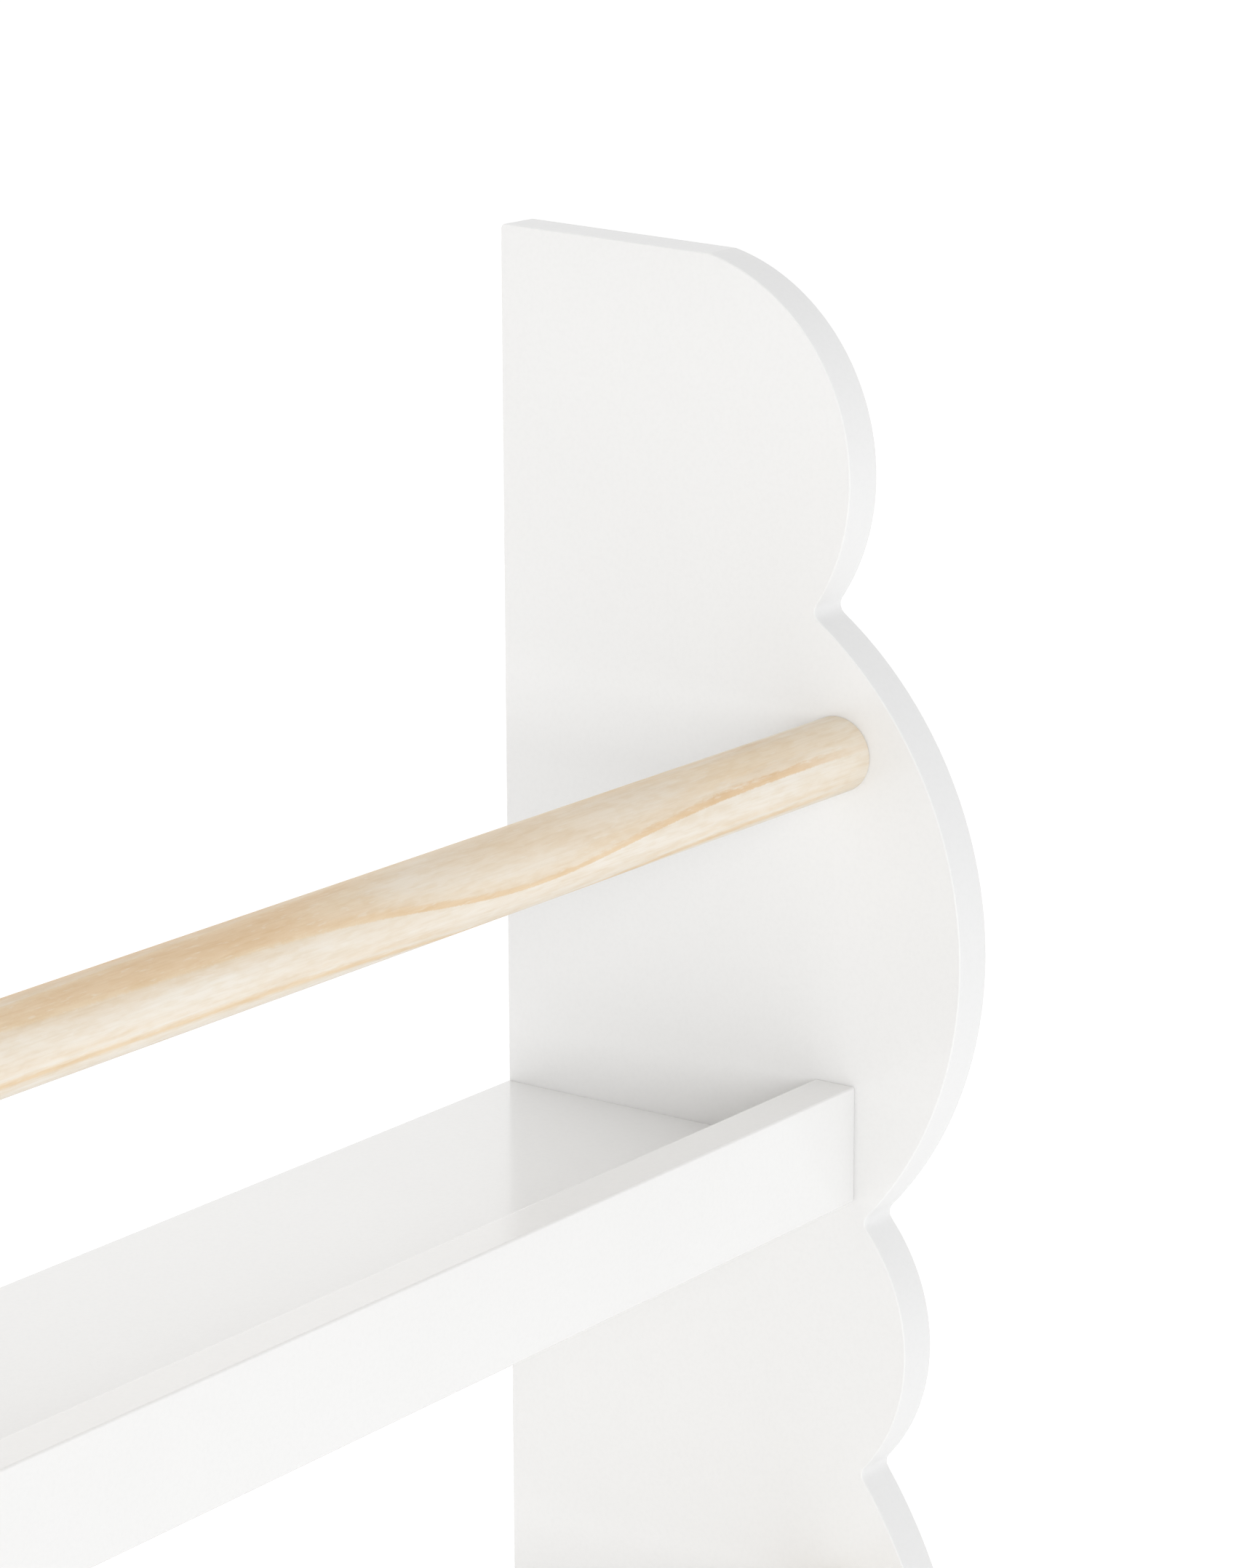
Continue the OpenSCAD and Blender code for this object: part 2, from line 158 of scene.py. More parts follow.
def panel_outline():
    """The side panel's outline as [(y, z), outward normal], counter-clockwise from the top back."""
    top, bottom = PANEL_HIGH.z, PANEL_LOW.z
    marks = [
        Vector((-TOP_EDGE, top - TOP_FALL)),
        Vector((-(LIP_FRONT - END_NOTCH_BACK), UPPER_TOP + NOTCH_1_UP)),
        Vector((-(LIP_FRONT + MID_NOTCH_AHEAD), UPPER_TOP - NOTCH_2_DOWN)),
        Vector((-(LIP_FRONT + MID_NOTCH_AHEAD), UPPER_TOP - NOTCH_3_DOWN)),
        Vector((-(LIP_FRONT - END_NOTCH_BACK), LOWER_TOP - NOTCH_4_DOWN)),
        Vector((-BOTTOM_EDGE, bottom)),
    ]
    radii = LOBE_RADII
    eyes = [arc_centre(p, q, r) for p, q, r in zip(marks, marks[1:], radii)]
    fillets = [
        front_meeting(eyes[i], radii[i] + NOTCH_FILLET, eyes[i + 1], radii[i + 1] + NOTCH_FILLET)
        for i in range(len(eyes) - 1)
    ]
    top_back, bottom_back = Vector((0, top)), Vector((0, bottom))
    up = Vector((-TOP_FALL, TOP_EDGE)).normalized()
    down = Vector((0, -1))
    upper_corner = corner_in_lobe(top_back, up, eyes[0], radii[0])
    lower_corner = corner_in_lobe(bottom_back, down, eyes[-1], radii[-1])
    path = arc(corner_at_wall(top_back, up), CORNER_R, 0, angle_of(up))
    path += arc(upper_corner, CORNER_R, angle_of(up), angle_of(upper_corner - eyes[0]))
    for i, (eye, radius) in enumerate(zip(eyes, radii)):
        start = angle_of((fillets[i - 1] if i else upper_corner) - eye)
        end = angle_of((fillets[i] if i < len(fillets) else lower_corner) - eye)
        path += arc(eye, radius, start, end)
        if i < len(fillets):
            inward = angle_of(eye - fillets[i])
            onward = angle_of(eyes[i + 1] - fillets[i]) - math.tau
            path += arc(fillets[i], NOTCH_FILLET, inward, onward, convex=False)
    path += arc(lower_corner, CORNER_R, angle_of(lower_corner - eyes[-1]), angle_of(down))
    path += arc(corner_at_wall(bottom_back, down), CORNER_R, angle_of(down), math.tau)
    clean = [path[0]]
    for point, normal in path[1:]:
        if (point - clean[-1][0]).length > SAME_POINT:
            clean.append((point, normal))
    return clean


def object_from(bm, name):
    """A linked object from a bmesh, with its faces pointing outwards."""
    bmesh.ops.recalc_face_normals(bm, faces=bm.faces)
    mesh = bpy.data.meshes.new(name)
    bm.to_mesh(mesh)
    bm.free()
    obj = bpy.data.objects.new(name, mesh)
    bpy.context.scene.collection.objects.link(obj)
    return obj


def add_loft(bm, rings):
    """Adds a closed solid from equal rings of points, with a flat cap on the first and the last."""
    loops = [[bm.verts.new(p) for p in ring] for ring in rings]
    for a, b in zip(loops, loops[1:]):
        for i in range(len(a)):
            j = (i + 1) % len(a)
            bm.faces.new((a[i], a[j], b[j], b[i]))
    bm.faces.new(loops[0][::-1])
    bm.faces.new(loops[-1])


def loft(rings, name):
    """A closed solid from equal rings of points, as an object."""
    bm = bmesh.new()
    add_loft(bm, rings)
    return object_from(bm, name)


def ease_profile(depth, ease):
    """(inset, travel) pairs of a plate of that thickness, with a quarter round on both edges."""
    turns = [math.pi / 2 * i / EASE_STEPS for i in range(EASE_STEPS + 1)]
    near = [(ease * (1 - math.sin(a)), ease * (1 - math.cos(a))) for a in turns]
    return near + [(inset, depth - travel) for inset, travel in reversed(near)]


def panel_mesh(x_low, name):
    """A side panel between x_low and x_low + BOARD_T, with eased edges."""
    outline = panel_outline()
    rings = []
    for inset, travel in ease_profile(BOARD_T, PANEL_EASED):
        ring = [point - normal * inset for point, normal in outline]
        rings.append([(x_low + travel, p.x, p.y) for p in ring])
    return loft(rings, name)


def board_mesh(low, high, name, ease):
    """A rectangular board with eased edges."""
    bm = bmesh.new()
    bmesh.ops.create_cube(bm, size=1)
    size, middle = high - low, (high + low) / 2
    bmesh.ops.scale(bm, vec=size, verts=bm.verts)
    bmesh.ops.translate(bm, vec=middle, verts=bm.verts)
    bmesh.ops.bevel(
        bm, geom=bm.edges[:], offset=ease, offset_type="OFFSET",
        segments=EASE_STEPS, profile=ROUND_PROFILE, affect="EDGES",
    )
    return object_from(bm, name)


def turned_rings(profile, origin, axis, sides):
    """Rings of a solid turned about an axis, from (distance along, radius) pairs."""
    axis = Vector(axis).normalized()
    across = axis.orthogonal().normalized()
    other = axis.cross(across)
    rings = []
    for along, radius in profile:
        ring = []
        for i in range(sides):
            a = math.tau * i / sides
            ray = across * math.cos(a) + other * math.sin(a)
            ring.append(Vector(origin) + axis * along + ray * radius)
        rings.append(ring)
    return rings


def drill(obj, holes):
    """Cuts round holes, each (mouth, direction, steps), where a step is (from depth, to depth, radius)."""
    cutters = []
    for k, (mouth, direction, steps) in enumerate(holes):
        profile = []
        for depth_from, depth_to, radius in steps:
            profile += [(depth_from, radius), (depth_to, radius)]
        cutter = loft(turned_rings(profile, mouth, direction, CUTTER_SIDES), f"cutter_{k}")
        cutters.append(cutter)
        cut = obj.modifiers.new("drill", "BOOLEAN")
        cut.operation = "DIFFERENCE"
        cut.solver = "EXACT"
        cut.object = cutter
    depsgraph = bpy.context.evaluated_depsgraph_get()
    mesh = bpy.data.meshes.new_from_object(obj.evaluated_get(depsgraph))
    old = obj.data
    obj.modifiers.clear()
    obj.data = mesh
    mesh.name = old.name
    bpy.data.meshes.remove(old)
    for cutter in cutters:
        shape = cutter.data
        bpy.data.objects.remove(cutter)
        bpy.data.meshes.remove(shape)


def soften(obj):
    """Smooth shading that keeps flat faces flat and the sharper edges sharp."""
    mesh = obj.data
    bm = bmesh.new()
    bm.from_mesh(mesh)
    limit = math.radians(SHARP_ABOVE_DEGREES)
    for edge in bm.edges:
        edge.smooth = len(edge.link_faces) == 2 and edge.calc_face_angle() < limit
    for face in bm.faces:
        face.smooth = True
    bm.to_mesh(mesh)
    bm.free()
    weighted = obj.modifiers.new("weighted_normals", "WEIGHTED_NORMAL")
    weighted.keep_sharp = True
    weighted.weight = FLAT_FACE_WEIGHT


class Graph:
    """Adds nodes to one node tree and links them."""

    def __init__(self, tree):
        self.tree = tree

    def add(self, kind, **settings):
        node = self.tree.nodes.new(kind)
        for key, value in settings.items():
            setattr(node, key, value)
        return node

    def feed(self, value, socket):
        """Links another node's output to a socket, or sets the socket's own value."""
        if isinstance(value, bpy.types.NodeSocket):
            self.tree.links.new(value, socket)
        else:
            socket.default_value = value

    def math(self, operation, a, b=None):
        node = self.add("ShaderNodeMath", operation=operation)
        self.feed(a, node.inputs[0])
        if b is not None:
            self.feed(b, node.inputs[1])
        return node.outputs[0]

    def plus(self, a, b):
        return self.math("ADD", a, b)

    def minus(self, a, b):
        return self.math("SUBTRACT", a, b)

    def times(self, a, b):
        return self.math("MULTIPLY", a, b)

    def coordinates(self, cells=(1, 1, 1), shift=(0, 0, 0)):
        """The object's own coordinates in metres, times cells a metre, plus a shift."""
        mapping = self.add("ShaderNodeMapping")
        self.feed(self.add("ShaderNodeTexCoord").outputs["Object"], mapping.inputs["Vector"])
        mapping.inputs["Scale"].default_value = cells
        mapping.inputs["Location"].default_value = shift
        return mapping.outputs[0]

    def noise(self, vector, cells, detail=2.0, roughness=0.5):
        node = self.add("ShaderNodeTexNoise")
        self.feed(vector, node.inputs["Vector"])
        node.inputs["Scale"].default_value = cells
        node.inputs["Detail"].default_value = detail
        node.inputs["Roughness"].default_value = roughness
        return node.outputs["Fac"]

    def grain(self, cells, shift=(0, 0, 0), detail=2.0, roughness=0.5):
        """Noise with its own number of cells a metre along each axis."""
        return self.noise(self.coordinates(cells, shift), 1.0, detail, roughness)

    def remap(self, value, low, high, to_low, to_high):
        node = self.add("ShaderNodeMapRange", clamp=True)
        self.feed(value, node.inputs["Value"])
        node.inputs["From Min"].default_value = low
        node.inputs["From Max"].default_value = high
        node.inputs["To Min"].default_value = to_low
        node.inputs["To Max"].default_value = to_high
        return node.outputs["Result"]

    def rise(self, value, stretch, full=1.0):
        """0 up to the start of a stretch, and evenly from there to full at its end."""
        return self.remap(value, *stretch, 0.0, full)

    def ramp(self, factor, stops, interpolation="EASE"):
        node = self.add("ShaderNodeValToRGB")
        node.color_ramp.interpolation = interpolation
        elements = node.color_ramp.elements
        while len(elements) < len(stops):
            elements.new(0.5)
        for element, (position, colour) in zip(elements, stops):
            element.position = position
            element.color = (*colour, 1)
        self.feed(factor, node.inputs["Fac"])
        return node.outputs["Color"]

    def mix(self, factor, a, b, blend="MIX"):
        node = self.add("ShaderNodeMix", data_type="RGBA", blend_type=blend)
        self.feed(factor, node.inputs["Factor"])
        sockets = [s for s in node.inputs if s.type == "RGBA"]
        for colour, socket in zip((a, b), sockets):
            self.feed(colour if isinstance(colour, bpy.types.NodeSocket) else (*colour, 1), socket)
        return next(s for s in node.outputs if s.type == "RGBA")

    def tinted(self, colour, tint):
        return self.mix(1.0, colour, tint, blend="MULTIPLY")

    def bump(self, height, strength, distance):
        node = self.add("ShaderNodeBump")
        node.inputs["Strength"].default_value = strength
        node.inputs["Distance"].default_value = distance
        self.feed(height, node.inputs["Height"])
        return node.outputs["Normal"]


class MaterialGraph(Graph):
    """A new material with one shader."""

    def __init__(self, name):
        self.material = bpy.data.materials.new(name)
        self.material.use_nodes = True
        super().__init__(self.material.node_tree)
        self.tree.nodes.clear()
        self.shader = self.add("ShaderNodeBsdfPrincipled")
        output = self.add("ShaderNodeOutputMaterial")
        self.feed(self.shader.outputs["BSDF"], output.inputs["Surface"])

    def shade(self, socket, value):
        """Feeds one input of the shader."""
        self.feed(value, self.shader.inputs[socket])


WHITE = (1.0, 1.0, 1.0)

# Where most noise values lie, and their middle
NOISE_SPAN = (0.3, 0.7)
NOISE_MIDDLE = 0.5

# Satin paint. CELLS are noise cells a metre, a SHIFT is multiplied by the seed, and a BUMP is its
# strength and its height, here and in the other materials
PAINT_SHIFT = (1.0, 0.7, 0.3)
PAINT_TONES = [(0.3, (0.805, 0.800, 0.791)), (0.7, (0.825, 0.821, 0.813))]
PAINT_SPECKS = [(0.3, (0.988, 0.988, 0.988)), (0.6, WHITE)]
PAINT_CLOUD_CELLS = 5.0
PAINT_SPECK_CELLS = 700.0
PAINT_SHEEN_CELLS = 30.0
PAINT_PEEL_CELLS = 330.0
PAINT_BUMP = (0.08, 0.08 * MM)
PANEL_SHEEN = (0.225, 0.262)
BOARD_SHEEN = (0.150, 0.185)

# Routed edges: how far the face turns away from x, and what changes there
ROUTED_TURN = (0.7, 0.2)
ROUTED_TONE = (0.984, 0.988, 0.995)
ROUTED_DULLER = 0.26
ROUTED_CELLS = 1100.0


def seeded(seed, shift):
    """A shift of the noise that differs from seed to seed."""
    return [seed * part for part in shift]


def white_paint(name, seed, sheen, routed_tone=None):
    """Sprayed satin paint on fibre board: faint orange peel, duller and grainy on routed edges."""
    g = MaterialGraph(name)
    place = g.coordinates(shift=seeded(seed, PAINT_SHIFT))
    tone = g.ramp(g.noise(place, PAINT_CLOUD_CELLS, detail=3.0), PAINT_TONES)
    tone = g.tinted(tone, g.ramp(g.noise(place, PAINT_SPECK_CELLS), PAINT_SPECKS))
    rough = g.remap(g.noise(place, PAINT_SHEEN_CELLS, detail=1.0), *NOISE_SPAN, *sheen)
    height = g.noise(place, PAINT_PEEL_CELLS, detail=1.0, roughness=0.4)
    if routed_tone:
        facing = g.add("ShaderNodeSeparateXYZ")
        g.feed(g.add("ShaderNodeTexCoord").outputs["Normal"], facing.inputs[0])
        edge_on = g.rise(g.math("ABSOLUTE", facing.outputs["X"]), ROUTED_TURN)
        tone = g.mix(edge_on, tone, g.tinted(tone, routed_tone))
        rough = g.plus(rough, g.times(edge_on, ROUTED_DULLER))
        height = g.plus(height, g.times(g.noise(place, ROUTED_CELLS), edge_on))
    g.shade("Base Color", tone)
    g.shade("Roughness", rough)
    g.shade("Normal", g.bump(height, *PAINT_BUMP))
    return g.material


# How the growth rings lie in the bars: which way they stack, how wide they are and how they stray
RING_STACK = Vector((0, 0.5, -0.866))
RING_GAP = 12 * MM
RING_RISE = 0.009
PITH_AWAY = 110 * MM
KNOT_REACH = 60 * MM
KNOT_SWELL = 6.2 * MM
WANDER = 3 * MM
WANDER_CELLS = (6.0, 20, 20)
WANDER_SHIFT = (1.0, 0.61, 0.37)
FRAY = 0.5 * MM
FRAY_CELLS = 1500.0

# Pine colours
EARLY = (0.805, 0.752, 0.672)
WARM = (0.775, 0.680, 0.555)
GOLDEN = (0.775, 0.632, 0.452)
LATE = (0.728, 0.535, 0.343)
SOFT_LATE = (0.750, 0.580, 0.396)
TAN = (0.782, 0.660, 0.508)
PALE_TAN = (0.790, 0.712, 0.605)
CREAM = (0.808, 0.742, 0.640)
FLECK = (0.81, 0.75, 0.67)

# The colours across one growth ring, from its early wood at 0 to its late wood line at 1
BOLD_RING = [
    (0.0, EARLY), (0.42, EARLY), (0.58, WARM), (0.66, GOLDEN), (0.73, GOLDEN),
    (0.79, WARM), (0.84, WARM), (0.88, LATE), (0.975, LATE), (1.0, EARLY),
]
FAINT_RING = [(0.0, EARLY), (0.60, EARLY), (0.84, WARM), (0.91, GOLDEN), (0.980, GOLDEN), (1.0, EARLY)]
BLURRED_RING = [
    (0.0, WARM), (0.20, EARLY), (0.45, EARLY), (0.64, WARM), (0.74, GOLDEN),
    (0.82, SOFT_LATE), (0.92, SOFT_LATE), (0.97, GOLDEN), (1.0, WARM),
]
FADED_RING = [(0.0, WARM), (0.08, EARLY), (0.76, EARLY), (0.90, GOLDEN), (0.96, GOLDEN), (1.0, WARM)]

# Tufts of fibre that blur the inner side of a late wood line
TUFT_CELLS = (200, 1500, 1500)
TUFT_FADE = (0.96, 0.91)
TUFT_REACH = 0.16

# How bold the rings are from place to place
BOLDNESS_CELLS = (11, 35, 35)
BOLDNESS_SHIFT = (3.1, 0, 0)
BOLDNESS_SPAN = (0.38, 0.62)
BOLDNESS = (0.10, 0.55)

# Changes along the bar, in knot reaches to the right of the knot: start, full, and how much
CRISP_END = (0.7, 1.7)
CRISP_SHARE = 0.55
WIDE_END = (-0.7, -1.7)
AGED_AND_SHADE_END = (1.0, 2.2)
# Where the painted shade along the bar's top turns from soft late wood brown to the aged tan
PAINTED_SHADE_END = (-2.4, -1.0)
CREAM_END = (2.15, 2.70)
CREAM_SHARE = 0.80

# Changes across the bar: depth past the first ring, and for the painted shade along the bar's upper back,
# height above the axis and distance sideways
WIDE_DEPTH = (6 * MM, 3 * MM)
FADED_DEPTH = (7 * MM, 9 * MM)
OLDER_DEPTH = (-3.5 * MM, -8.5 * MM)
OLDER_SHARE = 0.85
# Size and strength of the painted shade along the bar's upper back
PAINTED_SHADE_HEIGHT = (6 * MM, 9 * MM)
PAINTED_SHADE_SIDEWAYS = (4 * MM, 8 * MM)
PAINTED_SHADE_SHARE = 0.9

# Small marks on top: dark streaks, patches and spots, and pale flecks
FIBRE_CELLS = (55, 1700, 1700)
STREAKS = [(0.30, (0.965, 0.950, 0.925)), (0.60, WHITE)]
PATCH_CELLS = (30, 190, 190)
PATCHES = [(0.36, (0.970, 0.942, 0.905)), (0.62, WHITE)]
SPOT_CELLS = (130, 560, 560)
SPOTS = [(0.34, (0.970, 0.945, 0.905)), (0.60, WHITE)]
FLECK_CELLS = (230, 1400, 1400)
FLECK_SPAN = (0.62, 0.72)
FLECK_SHARE = 0.28
PINE_ROUGHNESS = (0.55, 0.68)
PINE_SPECULAR = 0.2
PINE_BUMP = (0.14, 0.05 * MM)


def pine_depth(g, seed, x, dy, dz, off, first_ring):
    """How far past the first ring a point lies, with the knot's swell, a slow wander and a fray."""
    from_pith = g.math("SQRT", g.plus(g.times(dy, dy), g.times(dz, dz)))
    depth = g.minus(from_pith, PITH_AWAY + first_ring)
    hump = g.math("POWER", math.e, g.times(g.times(off, off), -1.0))
    wander = g.grain(WANDER_CELLS, seeded(seed, WANDER_SHIFT), detail=1.0, roughness=0.4)
    fray = g.noise(g.coordinates(shift=(0, seed, 0)), FRAY_CELLS, detail=1.0)
    depth = g.minus(depth, g.times(hump, KNOT_SWELL))
    depth = g.minus(depth, g.times(x, RING_RISE))
    depth = g.plus(depth, g.times(g.minus(wander, NOISE_MIDDLE), WANDER))
    return g.plus(depth, g.times(g.minus(fray, NOISE_MIDDLE), FRAY))


def ring_colour(g, seed, depth, off):
    """The wood's colour by its place in a growth ring, which changes along the bar."""
    ring = g.math("FRACT", g.math("DIVIDE", depth, RING_GAP))
    tufts = g.grain(TUFT_CELLS, (seed, 0, seed))
    ring = g.plus(ring, g.times(g.rise(ring, TUFT_FADE, TUFT_REACH), g.minus(tufts, NOISE_MIDDLE)))
    bold, faint, blurred, faded = [
        g.ramp(ring, stops, interpolation="LINEAR")
        for stops in (BOLD_RING, FAINT_RING, BLURRED_RING, FADED_RING)
    ]
    varied = g.grain(BOLDNESS_CELLS, seeded(seed, BOLDNESS_SHIFT), detail=1.0)
    varied = g.remap(varied, *BOLDNESS_SPAN, *BOLDNESS)
    boldness = g.plus(varied, g.rise(off, CRISP_END, CRISP_SHARE))
    colour = g.mix(boldness, faint, bold)
    colour = g.mix(g.times(g.rise(off, WIDE_END), g.rise(depth, WIDE_DEPTH)), colour, blurred)
    return g.mix(g.rise(depth, FADED_DEPTH), colour, faded)


def pine_material(name, axis, seed, first_ring, knot_x):
    """Flat-sawn pine: pale early wood that darkens slowly and ends at a sharp late wood line, with painted
    shade along the bar's upper back edge.
    """
    g = MaterialGraph(name)
    place = g.add("ShaderNodeSeparateXYZ")
    g.feed(g.add("ShaderNodeTexCoord").outputs["Object"], place.inputs[0])
    x, y, z = place.outputs
    pith = axis - RING_STACK * PITH_AWAY
    dy = g.minus(y, pith.y)
    dz = g.minus(z, pith.z)
    off = g.math("DIVIDE", g.minus(x, knot_x), KNOT_REACH)
    depth = pine_depth(g, seed, x, dy, dz, off, first_ring)
    colour = ring_colour(g, seed, depth, off)
    aged_and_shade_tone = g.mix(g.rise(off, AGED_AND_SHADE_END), TAN, PALE_TAN)
    colour = g.mix(g.rise(depth, OLDER_DEPTH, OLDER_SHARE), colour, aged_and_shade_tone)
    # Painted shade along the bar's upper back edge, in wood tones: soft late wood brown well left of the
    # knot, and the aged tan elsewhere
    sideways = g.plus(g.times(dy, -RING_STACK.z), g.times(dz, RING_STACK.y))
    painted_top_shade = g.times(g.rise(g.minus(z, axis.z), PAINTED_SHADE_HEIGHT), g.rise(sideways, PAINTED_SHADE_SIDEWAYS, PAINTED_SHADE_SHARE))
    colour = g.mix(painted_top_shade, colour, g.mix(g.rise(off, PAINTED_SHADE_END), SOFT_LATE, aged_and_shade_tone))
    colour = g.mix(g.rise(off, CREAM_END, CREAM_SHARE), colour, CREAM)
    fibre = g.grain(FIBRE_CELLS, (seed, 0, 0), detail=3.0, roughness=0.6)
    patches = g.grain(PATCH_CELLS, (0, seed, 0))
    spots = g.grain(SPOT_CELLS, (seed, seed, 0))
    for noise, stops in ((fibre, STREAKS), (patches, PATCHES), (spots, SPOTS)):
        colour = g.tinted(colour, g.ramp(noise, stops))
    flecks = g.grain(FLECK_CELLS, (0, 0, seed), detail=1.0)
    g.shade("Base Color", g.mix(g.rise(flecks, FLECK_SPAN, FLECK_SHARE), colour, FLECK))
    g.shade("Roughness", g.remap(fibre, *NOISE_SPAN, *PINE_ROUGHNESS))
    g.shade("Specular IOR Level", PINE_SPECULAR)
    g.shade("Normal", g.bump(fibre, *PINE_BUMP))
    return g.material


# Beech dowels
BEECH_TONES = [(0.32, (0.50, 0.33, 0.19)), (0.5, (0.66, 0.48, 0.31)), (0.8, (0.72, 0.55, 0.38))]
BEECH_CELLS = (240, 900, 900)
BEECH_ROUGHNESS = 0.62
BEECH_BUMP = (0.25, 0.05 * MM)


def beech(name):
    """Bare beech dowel wood with short dark flecks along the grain."""
    g = MaterialGraph(name)
    fleck = g.grain(BEECH_CELLS, detail=3.0, roughness=0.6)
    g.shade("Base Color", g.ramp(fleck, BEECH_TONES))
    g.shade("Roughness", BEECH_ROUGHNESS)
    g.shade("Normal", g.bump(fleck, *BEECH_BUMP))
    return g.material


# Zinc-plated steel
ZINC_TONES = [(0.3, (0.56, 0.58, 0.62)), (0.55, (0.68, 0.69, 0.70)), (0.8, (0.74, 0.73, 0.70))]
ZINC_PATCH_CELLS = 260.0
ZINC_STREAK_CELLS = (2600, 90, 90)
ZINC_ROUGHNESS = (0.26, 0.42)
ZINC_BUMP = (0.12, 0.02 * MM)


def zinc_steel(name):
    """Bright zinc plate with fine rolled streaks and faint crystal patches."""
    g = MaterialGraph(name)
    patches = g.noise(g.coordinates(), ZINC_PATCH_CELLS, detail=3.0, roughness=0.6)
    streaks = g.grain(ZINC_STREAK_CELLS)
    g.shade("Base Color", g.ramp(patches, ZINC_TONES))
    g.shade("Metallic", 1.0)
    g.shade("Roughness", g.remap(streaks, *NOISE_SPAN, *ZINC_ROUGHNESS))
    g.shade("Normal", g.bump(streaks, *ZINC_BUMP))
    return g.material


# Cap plastic
PLASTIC_TONES = [(0.3, (0.80, 0.80, 0.79)), (0.7, (0.83, 0.83, 0.82))]
PLASTIC_CLOUD_CELLS = 120.0
PLASTIC_SPARK_CELLS = 3200.0
PLASTIC_ROUGHNESS = (0.42, 0.55)
PLASTIC_BUMP = (0.15, 0.02 * MM)


def cap_plastic(name):
    """Moulded white plastic with a fine spark-eroded texture."""
    g = MaterialGraph(name)
    place = g.coordinates()
    spark = g.noise(place, PLASTIC_SPARK_CELLS)
    g.shade("Base Color", g.ramp(g.noise(place, PLASTIC_CLOUD_CELLS), PLASTIC_TONES))
    g.shade("Roughness", g.remap(spark, *NOISE_SPAN, *PLASTIC_ROUGHNESS))
    g.shade("Normal", g.bump(spark, *PLASTIC_BUMP))
    return g.material


def dress(obj, material, slot, *nodes):
    """Gives a piece its material, lets it ride on the body and stand for its CAD nodes."""
    obj.data.materials.clear()
    obj.data.materials.append(material)
    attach(obj, "root")
    if nodes:
        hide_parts(*nodes)


# Sizes of the holes, the same as in the part's source
GAP = 0.1 * MM
SHELF_SCREW_YS = (-28 * MM, -96 * MM)
SHELF_SCREW_R = 3.5 * MM
SHELF_SCREW_L = 50 * MM
BAR_SCREW_R = 2.5 * MM
BAR_SCREW_L = 50 * MM
HEAD_R = 5 * MM
HEAD_H = 3 * MM
SHELF_DOWEL_Y = -62 * MM
SHELF_DOWEL_R = 4 * MM
SHELF_DOWEL_IN_PANEL = 10 * MM
SHELF_DOWEL_IN_SHELF = 20 * MM
LIP_DOWEL_R = 3 * MM
LIP_DOWEL_SHORT = 9 * MM
LIP_DOWEL_LONG = 18 * MM
LIP_DOWEL_COUNT = 4
LIP_DOWEL_INSET = 60 * MM
LIP_END_DOWEL_UP = 8 * MM
BRACKET_INSET = 57.5 * MM
BRACKET_SCREW_YS = (-15 * MM, -32 * MM)
BRACKET_SCREW_R = 1.75 * MM
BRACKET_SCREW_GRIP = 10 * MM
END_GAP = 0.3 * MM
PAST = 1 * MM


def shelf_screw_spots(tier):
    """The (y, z) of the screws at each end of a shelf board."""
    middle = (SHELF_LOW[tier].z + SHELF_HIGH[tier].z) / 2
    return [(y, middle) for y in SHELF_SCREW_YS]


def bar_spot(tier):
    """The (y, z) of a bar's axis."""
    middle = (BAR_LOW[tier] + BAR_HIGH[tier]) / 2
    return middle.y, middle.z


def lip_end_spot(tier):
    """The (y, z) of the dowel in each end of a lip."""
    return bar_spot(tier)[0], SHELF_HIGH[tier].z + LIP_END_DOWEL_UP


def shelf_dowel_spot(tier):
    """The (y, z) of the dowel at each end of a shelf board."""
    return SHELF_DOWEL_Y, shelf_screw_spots(tier)[0][1]


def lip_dowel_xs():
    """Where the dowels between shelf and lip lie along x."""
    span = SHELF_HIGH["upper"].x - SHELF_LOW["upper"].x - 2 * LIP_DOWEL_INSET
    return [span * (i / (LIP_DOWEL_COUNT - 1) - 0.5) for i in range(LIP_DOWEL_COUNT)]


def blind_hole(mouth, direction, depth, radius):
    """A hole for a screw or dowel that goes in so deep, with play round it and at its end."""
    return mouth, direction, [(-PAST, depth + END_GAP, radius + GAP)]


def panel_holes(sign):
    """Every hole of one side panel; sign is -1 on the left and 1 on the right."""
    inner = sign * PANEL_LOW.x
    outer = sign * PANEL_HIGH.x
    inward = (-sign, 0, 0)
    outward = (sign, 0, 0)
    holes = []
    for tier in TIERS:
        screws = [(spot, SHELF_SCREW_R) for spot in shelf_screw_spots(tier)]
        screws.append((bar_spot(tier), BAR_SCREW_R))
        for (y, z), radius in screws:
            steps = [(-PAST, HEAD_H, HEAD_R + GAP), (HEAD_H, BOARD_T + PAST, radius + GAP)]
            holes.append(((outer, y, z), inward, steps))
        dowels = [(shelf_dowel_spot(tier), SHELF_DOWEL_R, SHELF_DOWEL_IN_PANEL)]
        dowels.append((lip_end_spot(tier), LIP_DOWEL_R, LIP_DOWEL_SHORT))
        for (y, z), radius, depth in dowels:
            holes.append(blind_hole((inner, y, z), outward, depth, radius))
    return holes


